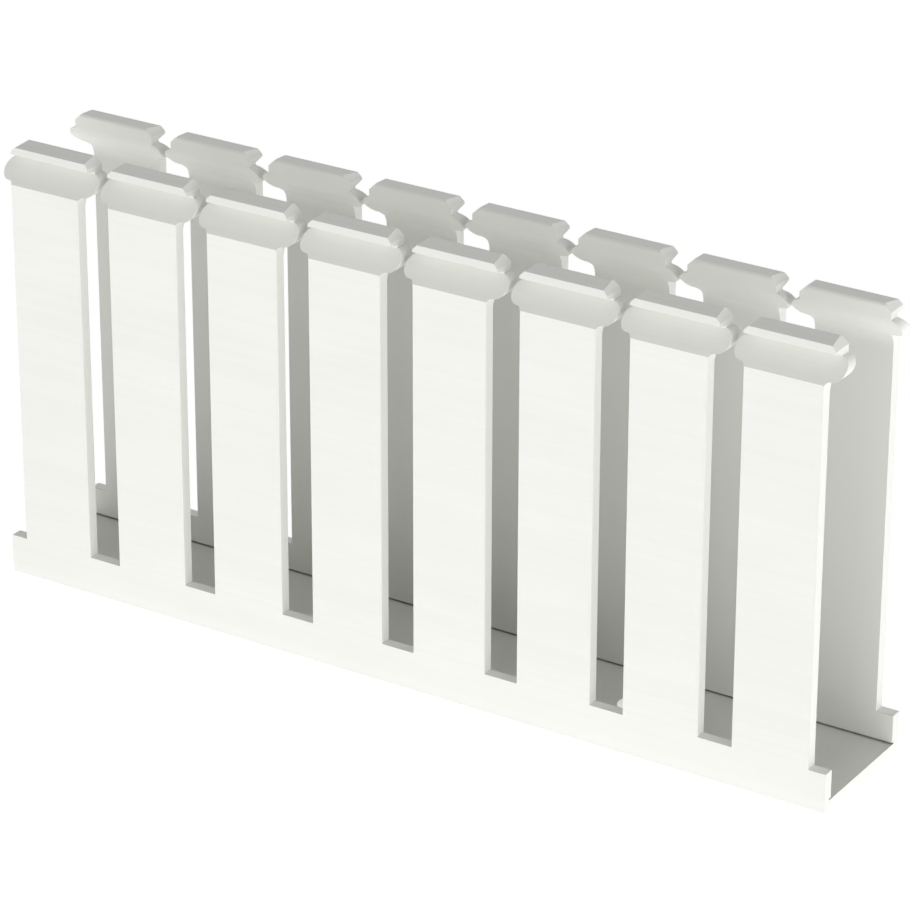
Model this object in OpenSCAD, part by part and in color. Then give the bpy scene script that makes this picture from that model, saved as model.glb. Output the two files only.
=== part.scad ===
// Slotted wire duct: the open channel, without its cover.
// One extrusion of rigid PVC, then punched: a floor, two side walls cut into
// fingers, and on each finger a set-in head with a lip that the cover grips.
// X runs along the duct, Y across it and Z up. The origin is the middle of the
// underside. Both ends are cut through the middle of a slot.

/* [Length] */
// Distance from one slot to the next
pitch = 25.4; // [22:0.1:40]
// Number of fingers on each side
finger_count = 8; // [2:1:24]

/* [Channel] */
// Overall width across the outer faces
duct_w = 31.9; // [24:0.1:100]
// Height of the flat outer face, from the underside to the shoulder
wall_h = 92.6; // [30:0.1:120]
// Thickness of the side walls
wall_t = 2.6; // [1.8:0.1:3.2]
// Thickness of the floor
floor_t = 2.1; // [1.5:0.1:4]

/* [Slots] */
// Width of a slot between two fingers
slot_w = 7.9; // [5:0.1:9.5]
// Height of the solid wall left under the slots, from the underside
sill_h = 8.8; // [6:0.1:20]

/* [Finger head, across the duct] */
// How far the head is set in from the outer face
set_in = 4.5; // [3.5:0.1:5.5]
// Lean of the shoulder between the wall and the head, from upright, in degrees
shoulder_lean = 43; // [38:1:50]
// Radius of both bends of the inner face
bend_r = 3.6; // [2:0.1:4.4]
// Height of the upright neck between the shoulder and the lip
neck_h = 0.6; // [0.4:0.1:2]
// How far the lip stands out over the neck
lip_out = 2.6; // [1:0.1:2.9]
// Rise of the lip's underside, from the neck out to its edge
lip_rise = 0.6; // [0.1:0.1:1]
// Height of the face of the lip
lip_h = 1.6; // [1.2:0.1:3]
// How far the face of the lip leans in
lip_lean = 0.3; // [0.1:0.1:0.8]
// Rise of the top face towards the inside of the duct
top_rise = 0.7; // [0.2:0.1:1.2]
// Radius of the inner edge of the top face
top_r = 0.8; // [0.3:0.1:1.2]

/* [Finger head, along the duct] */
// Gap between the lobes of two neighbouring heads
lobe_gap = 1.1; // [0.5:0.1:2.5]
// Radius of a lobe
lobe_r = 2.1; // [1.8:0.1:2.4]
// Height of the middle of a lobe over the lower edge of the shoulder
lobe_rise = 2.8; // [2.4:0.1:3.4]
// Gap between the lips of two neighbouring heads
lip_gap = 5.1; // [4:0.1:7]
// Width of the bevel at each end of a lip, and its height
bevel = 1.7; // [0.4:0.1:1.8]
// Radius in the corner between a finger and its lobe
root_r = 1.1; // [0.6:0.1:1.5]

/* [Break-off lines] */
// Height of the line cut into each wall where it meets the floor
score_h = 0.45; // [0.2:0.05:0.8]
// Depth of that line
score_d = 0.65; // [0.2:0.05:0.9]

/* [Mounting holes] */
// Distance between the two mounting holes
hole_spacing = 101.6; // [30:0.1:160]
// Width of a mounting hole
hole_w = 6.6; // [4:0.1:8]
// Length of a mounting hole along the duct
hole_l = 12.2; // [8.5:0.1:20]

/* [Hidden] */
$fn = 96;
// Overrun of every cut past the face that it starts from
cut = 1;
duct_l = finger_count * pitch;

// The wall and head seen from the end: y is measured in from the outer face.
head_y = set_in + wall_t;
shoulder_top = wall_h + set_in / tan(shoulder_lean);
lip_root = shoulder_top + neck_h;
lip_z = lip_root + lip_rise;
lip_top = lip_z + lip_h;
duct_h = lip_top + top_rise;
lip_y = set_in - lip_out;
face_y = lip_y + lip_lean;
// The inner face follows the shoulder at the wall's thickness, with a bend at either end
bend_reach = bend_r * tan(shoulder_lean / 2);
bend_shift = wall_t * tan(shoulder_lean / 2);
low_corner = [wall_t, wall_h - bend_shift];
high_corner = [head_y, shoulder_top - bend_shift];
along = [sin(shoulder_lean), cos(shoulder_lean)];
low_bend = low_corner + [bend_r, -bend_reach];
high_bend = high_corner + [-bend_r, bend_reach];
// The circle of the top's inner edge touches the sloped top and the inner face
slope = top_rise / (head_y - face_y);
edge_y = head_y - top_r;
edge_z = lip_top + slope * (edge_y - face_y) - top_r * sqrt(1 + pow(slope, 2));
touch_y = edge_y - top_r * slope / sqrt(1 + pow(slope, 2));
touch_z = lip_top + slope * (touch_y - face_y);

// The outline of a finger seen from the side: x is measured from its middle line.
finger_x = (pitch - slot_w) / 2;
lobe_x = (pitch - lobe_gap) / 2 - lobe_r;
lobe_z = wall_h + lobe_rise;
lip_x = (pitch - lip_gap) / 2;
root_x = finger_x + root_r;
root_z = lobe_z - sqrt(pow(lobe_r + root_r, 2) - pow(lobe_x - root_x, 2));

// One wall and its head, seen from the end with the outer face at y = 0. The wall keeps
// its thickness through both bends, and circles round the bends and the top's inner edge.
module wall_section() {
    difference() {
        union() {
            polygon([
                [0, 0], [wall_t, 0], low_corner - [0, bend_reach],
                low_corner + bend_reach * along, high_corner - bend_reach * along,
                high_corner + [0, bend_reach], [head_y, edge_z], [edge_y, edge_z],
                [touch_y, touch_z], [face_y, lip_top], [lip_y, lip_z], [set_in, lip_root],
                [set_in, shoulder_top], [0, wall_h]
            ]);
            translate([edge_y, edge_z]) circle(top_r);
            intersection() {
                translate(high_bend) circle(bend_r);
                translate([set_in, high_bend[1] - bend_r]) square([wall_t, bend_r]);
            }
        }
        translate(low_bend) circle(bend_r);
        translate([wall_t - score_d, floor_t]) square([score_d + cut, score_h]);
    }
}

// The channel as it leaves the extruder: the floor and both walls, not yet punched.
module extrusion() {
    translate([-duct_l / 2, -duct_w / 2, 0]) cube([duct_l, duct_w, floor_t]);
    for (side = [0, 1]) mirror([0, side, 0])
        translate([-duct_l / 2, -duct_w / 2, 0])
            rotate([90, 0, 90]) linear_extrude(duct_l) wall_section();
}

// The outline that the punch leaves of one finger, seen from the side: straight sides,
// two round lobes with a hollow corner under each, and a lip with bevelled ends.
module finger_outline() {
    difference() {
        union() {
            polygon([
                [finger_x, sill_h - cut], [finger_x, root_z], [root_x, root_z],
                [lobe_x, lobe_z], [lip_x, lobe_z], [lip_x, duct_h - bevel],
                [lip_x - bevel, duct_h], [-lip_x + bevel, duct_h], [-lip_x, duct_h - bevel],
                [-lip_x, lobe_z], [-lobe_x, lobe_z], [-root_x, root_z], [-finger_x, root_z],
                [-finger_x, sill_h - cut]
            ]);
            for (side = [-1, 1]) translate([side * lobe_x, lobe_z]) circle(lobe_r);
        }
        for (side = [-1, 1]) translate([side * root_x, root_z]) circle(root_r);
    }
}

// What the punch takes out of both walls: everything above the sill between the fingers.
module punched_out() {
    difference() {
        translate([-duct_l / 2 - cut, sill_h]) square([duct_l + 2 * cut, duct_h]);
        for (i = [0 : finger_count - 1])
            translate([(i + 0.5) * pitch - duct_l / 2, 0]) finger_outline();
    }
}

// An oval hole through the floor, with round ends.
module mounting_hole() {
    translate([0, 0, -cut]) linear_extrude(floor_t + 2 * cut) {
        square([hole_l - hole_w, hole_w], center = true);
        for (side = [-1, 1]) translate([side * (hole_l - hole_w) / 2, 0]) circle(d = hole_w);
    }
}

module duct_channel() {
    color("#F4F5EF") difference() {
        extrusion();
        rotate([90, 0, 0]) linear_extrude(duct_w + 2 * cut, center = true) punched_out();
        for (side = [-1, 1]) translate([side * hole_spacing / 2, 0, 0]) mounting_hole();
    }
}

duct_channel();
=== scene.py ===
import math

import bpy
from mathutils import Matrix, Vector


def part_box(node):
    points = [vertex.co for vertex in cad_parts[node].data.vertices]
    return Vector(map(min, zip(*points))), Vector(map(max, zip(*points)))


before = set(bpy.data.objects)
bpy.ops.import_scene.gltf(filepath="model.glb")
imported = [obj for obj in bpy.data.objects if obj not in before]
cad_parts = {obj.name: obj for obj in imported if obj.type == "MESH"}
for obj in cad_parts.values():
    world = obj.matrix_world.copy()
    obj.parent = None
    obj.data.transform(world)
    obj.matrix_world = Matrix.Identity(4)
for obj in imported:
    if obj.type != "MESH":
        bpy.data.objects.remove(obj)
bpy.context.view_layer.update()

# ---------------------------------------------------------------- the channel
# One length of rigid white PVC: a floor and two walls extruded together, and
# then punched from the sides into fingers with lobed heads. Nothing is fixed
# to it. The die leaves faint lines along it, and the punch leaves dull faces.

wall = 0.0026
floor = 0.0021
groove_depth = 0.00065
groove_height = 0.00045
bend_start = 0.0895
bend_end = 0.0935
edge_rounding = 0.00012

skin_white = (0.785, 0.792, 0.750, 1)
pale_white = (0.820, 0.826, 0.786, 1)
punched_white = (0.765, 0.772, 0.732, 1)
# Painted shade inside the channel, not the plastic's own colour:
inner_painted_shade = (0.700, 0.707, 0.669, 1)
# Painted shade in the break-off grooves, not the plastic's own colour:
groove_painted_shade = (0.450, 0.450, 0.420, 1)

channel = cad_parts["duct_channel"]
inner_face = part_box("duct_channel")[1].y - wall

pvc = bpy.data.materials.new("rigid white PVC")
pvc.use_nodes = True
nodes, links = pvc.node_tree.nodes, pvc.node_tree.links
plastic = nodes["Principled BSDF"]
plastic.inputs["IOR"].default_value = 1.53
plastic.inputs["Specular IOR Level"].default_value = 0.3

place = nodes.new("ShaderNodeTexCoord")


# These add to the material that is being made: nodes and links are its own.
def drawn_noise(stretch, scale, detail):
    """Noise in the plastic, with its own stretch along the duct, across it and up it."""
    mapping = nodes.new("ShaderNodeMapping")
    mapping.inputs["Scale"].default_value = stretch
    links.new(place.outputs["Object"], mapping.inputs["Vector"])
    noise = nodes.new("ShaderNodeTexNoise")
    noise.inputs["Scale"].default_value = scale
    noise.inputs["Detail"].default_value = detail
    links.new(mapping.outputs["Vector"], noise.inputs["Vector"])
    return noise.outputs["Fac"]


def ranged(value, low, high, to_low, to_high):
    """The value's range from low to high, turned into to_low to to_high."""
    node = nodes.new("ShaderNodeMapRange")
    node.inputs["From Min"].default_value = low
    node.inputs["From Max"].default_value = high
    node.inputs["To Min"].default_value = to_low
    node.inputs["To Max"].default_value = to_high
    links.new(value, node.inputs["Value"])
    return node.outputs["Result"]


def spread(noise, low, high):
    """The noise, which mostly lies between 0.3 and 0.7, spread over low to high."""
    return ranged(noise, 0.3, 0.7, low, high)


def together(operation, *values):
    """Numbers or outputs of nodes, joined by an operation."""
    node = nodes.new("ShaderNodeMath")
    node.operation = operation
    for socket, value in zip(node.inputs, values):
        if isinstance(value, (int, float)):
            socket.default_value = value
        else:
            links.new(value, socket)
    return node.outputs["Value"]


def tinted(colour, where, other):
    """The colour, turned into the other one as far as the mask says."""
    node = nodes.new("ShaderNodeMix")
    node.data_type = "RGBA"
    links.new(where, node.inputs["Factor"])
    if isinstance(colour, tuple):
        node.inputs["A"].default_value = colour
    else:
        links.new(colour, node.inputs["A"])
    node.inputs["B"].default_value = other
    return node.outputs["Result"]


# Punched faces look along the duct, at least in part. Extruded faces don't.
facing = nodes.new("ShaderNodeSeparateXYZ")
links.new(place.outputs["Normal"], facing.inputs["Vector"])
punched = ranged(together("ABSOLUTE", facing.outputs["X"]), 0.15, 0.4, 0.0, 1.0)
extruded = together("SUBTRACT", 1.0, punched)

# Inner faces: the floor, and the walls up to the bend where they lean in, painted darker than outside
# as the shade inside the channel
spot = nodes.new("ShaderNodeSeparateXYZ")
links.new(place.outputs["Object"], spot.inputs["Vector"])
off_centre = together("ABSOLUTE", spot.outputs["Y"])
height = spot.outputs["Z"]
between_walls = ranged(off_centre, inner_face + 0.0001, inner_face + 0.00045, 1.0, 0.0)
below_bend = ranged(height, bend_start, bend_end, 1.0, 0.0)
inside_shade_mask = together("MULTIPLY", together("MULTIPLY", between_walls, below_bend), extruded)

# Break-off lines: a groove along the foot of each wall, painted dark as shade, as it is too narrow to
# look into
groove_end = inner_face + groove_depth
groove_top = floor + groove_height
past_face = ranged(off_centre, inner_face + 0.00001, inner_face + 0.00007, 0.0, 1.0)
before_end = ranged(off_centre, groove_end + 0.00006, groove_end + 0.00012, 1.0, 0.0)
below_top = ranged(height, groove_top + 0.0001, groove_top + 0.0002, 1.0, 0.0)
groove_shade_mask = together("MULTIPLY", together("MULTIPLY", past_face, before_end), below_top)
groove_shade_mask = together("MULTIPLY", groove_shade_mask, extruded)

# Edges: the plastic is a little whiter where it was sheared
rounded = nodes.new("ShaderNodeBevel")
rounded.samples = 6
rounded.inputs["Radius"].default_value = edge_rounding
flat = nodes.new("ShaderNodeNewGeometry")
turn = nodes.new("ShaderNodeVectorMath")
turn.operation = "DOT_PRODUCT"
links.new(rounded.outputs["Normal"], turn.inputs[0])
links.new(flat.outputs["Normal"], turn.inputs[1])
edge = ranged(turn.outputs["Value"], 0.99, 0.8, 0.0, 1.0)

die_lines = drawn_noise(stretch=(2.0, 900.0, 900.0), scale=1.0, detail=3.0)
punch_marks = drawn_noise(stretch=(500.0, 60.0, 500.0), scale=1.0, detail=2.0)
grain = drawn_noise(stretch=(1.0, 1.0, 1.0), scale=2600.0, detail=2.0)
mottle = drawn_noise(stretch=(1.0, 2.5, 2.5), scale=28.0, detail=4.0)

# Colour: uneven and streaked along the duct, greyer on punched faces, then painted shade on the inner
# faces and in the break-off grooves
paleness = together("ADD", spread(mottle, 0.1, 0.8), together("MULTIPLY", edge, 0.5))
paleness = together("ADD", paleness, spread(die_lines, -0.3, 0.3))
colour = tinted(skin_white, paleness, pale_white)
colour = tinted(colour, punched, punched_white)
colour = tinted(colour, inside_shade_mask, inner_painted_shade)
colour = tinted(colour, groove_shade_mask, groove_painted_shade)
links.new(colour, plastic.inputs["Base Color"])

# Gloss: satin from the die, duller where the punch has cut
satin = spread(die_lines, 0.48, 0.58)
roughness = together("ADD", satin, together("MULTIPLY", punched, 0.16))
links.new(roughness, plastic.inputs["Roughness"])

# Relief: die lines or punch marks, and a fine grain over both
lines = together("MULTIPLY", die_lines, extruded)
marks = together("MULTIPLY", punch_marks, together("MULTIPLY", punched, 1.2))
fine = together("MULTIPLY", grain, 0.25)
relief = together("ADD", lines, together("ADD", marks, fine))
bump = nodes.new("ShaderNodeBump")
bump.inputs["Strength"].default_value = 0.7
bump.inputs["Distance"].default_value = 0.00004
links.new(relief, bump.inputs["Height"])
links.new(rounded.outputs["Normal"], bump.inputs["Normal"])
links.new(bump.outputs["Normal"], plastic.inputs["Normal"])

for slot in channel.material_slots:
    slot.material = pvc

# ------------------------------------------------------------------ the table
# A smooth white light table under the duct. It carries the duct's soft
# shadow, and its glow fills the sides from below. It isn't part of the duct.

table_radius = 4.0
table_white = (0.80, 0.80, 0.80, 1)
near = 0.35
far = 1.0
white_near = 0.58
white_far = 1.22
shadow_kept = 0.5

bpy.ops.mesh.primitive_circle_add(vertices=96, radius=table_radius, fill_type="NGON")
table = bpy.context.object
table.name = "light_table"
opal = bpy.data.materials.new("opal table top")
opal.use_nodes = True
nodes, links = opal.node_tree.nodes, opal.node_tree.links
nodes.remove(nodes["Principled BSDF"])
surface = nodes.new("ShaderNodeBsdfDiffuse")
surface.inputs["Color"].default_value = table_white
glow = nodes.new("ShaderNodeEmission")
glow.inputs["Strength"].default_value = 1.0
lit_top = nodes.new("ShaderNodeAddShader")
links.new(surface.outputs["BSDF"], lit_top.inputs[0])
links.new(glow.outputs["Emission"], lit_top.inputs[1])

# What is looked at is partly an even white, stronger away from the duct, and
# partly the lit top, so that a part of the duct's shadow stays.
where = nodes.new("ShaderNodeTexCoord")
from_middle = nodes.new("ShaderNodeVectorMath")
from_middle.operation = "LENGTH"
links.new(where.outputs["Object"], from_middle.inputs[0])
even_white = nodes.new("ShaderNodeEmission")
white_strength = ranged(from_middle.outputs["Value"], near, far, white_near, white_far)
links.new(white_strength, even_white.inputs["Strength"])


def looked_at():
    """1 for what the camera or a reflection sees, and 0 for what lights the duct."""
    rays = nodes.new("ShaderNodeLightPath")
    reflected = together("MAXIMUM", rays.outputs["Is Glossy Ray"], rays.outputs["Is Transmission Ray"])
    return together("MAXIMUM", rays.outputs["Is Camera Ray"], reflected)


shown = nodes.new("ShaderNodeMixShader")
links.new(together("MULTIPLY", looked_at(), 1.0 - shadow_kept), shown.inputs["Fac"])
links.new(lit_top.outputs["Shader"], shown.inputs[1])
links.new(even_white.outputs["Emission"], shown.inputs[2])
links.new(shown.outputs["Shader"], nodes["Material Output"].inputs["Surface"])
table.data.materials.append(opal)

# ----------------------------------------------------------------- the studio
# A white room with a dim ceiling. The main soft box stands off the duct's near
# right corner, and five weaker ones fill in from its ends, in front and above.

room_light = 0.401
walls_end = 0.2
ceiling_starts = 0.5
wall_white = 1.0
ceiling_white = 0.3
soft_box_side = 0.8
aimed_at = Vector((0.0, 0.0, 0.05))

room = bpy.data.worlds.new("white room")
bpy.context.scene.world = room
room.use_nodes = True
nodes, links = room.node_tree.nodes, room.node_tree.links
room_wall = nodes["Background"]
room_wall.inputs["Color"].default_value = (1, 1, 1, 1)
way = nodes.new("ShaderNodeTexCoord")
upward = nodes.new("ShaderNodeSeparateXYZ")
links.new(way.outputs["Generated"], upward.inputs["Vector"])
white_to_dim = ranged(upward.outputs["Z"], walls_end, ceiling_starts, wall_white, ceiling_white)
strength = nodes.new("ShaderNodeMix")
links.new(looked_at(), strength.inputs["Factor"])
strength.inputs["A"].default_value = room_light
links.new(white_to_dim, strength.inputs["B"])
links.new(strength.outputs["Result"], room_wall.inputs["Strength"])


def soft_box(name, at, power):
    """A square lamp that looks at the middle of the duct."""
    lamp = bpy.data.lights.new(name, "AREA")
    lamp.shape = "SQUARE"
    lamp.size = soft_box_side
    lamp.energy = power
    box = bpy.data.objects.new(name, lamp)
    box.location = at
    box.rotation_euler = (aimed_at - Vector(at)).to_track_quat("-Z", "Y").to_euler()
    bpy.context.scene.collection.objects.link(box)


soft_box("soft box at the end", (2.4, 0.0, 0.42), 6.8)
soft_box("soft box at the right corner", (2.2, -1.1, 0.42), 14.3)
soft_box("soft box at the left corner", (-2.1, -1.2, 0.2), 4.2)
soft_box("soft box in front", (0.2, -2.3, 0.9), 3.0)
soft_box("soft box above the front", (0.0, -1.1, 2.1), 1.7)
soft_box("soft box above the back", (0.0, 1.35, 1.95), 4.0)

# ----------------------------------------------------------------- the camera
# A long lens, a little above the duct and to the right of its front, so that
# the front, the right end and the way through the slots all show.

lens = bpy.data.cameras.new("camera")
lens.sensor_width = 36.0
lens.lens = 174.03
lens.shift_x = -0.01205
lens.shift_y = 0.01391
lens.clip_start = 0.05
camera = bpy.data.objects.new("camera", lens)
camera.location = (0.44902, -0.70353, 0.43521)
camera.rotation_euler = (math.radians(64.912), math.radians(-0.158), math.radians(32.228))
bpy.context.scene.collection.objects.link(camera)
bpy.context.scene.camera = camera
bpy.context.scene.view_settings.view_transform = "Standard"
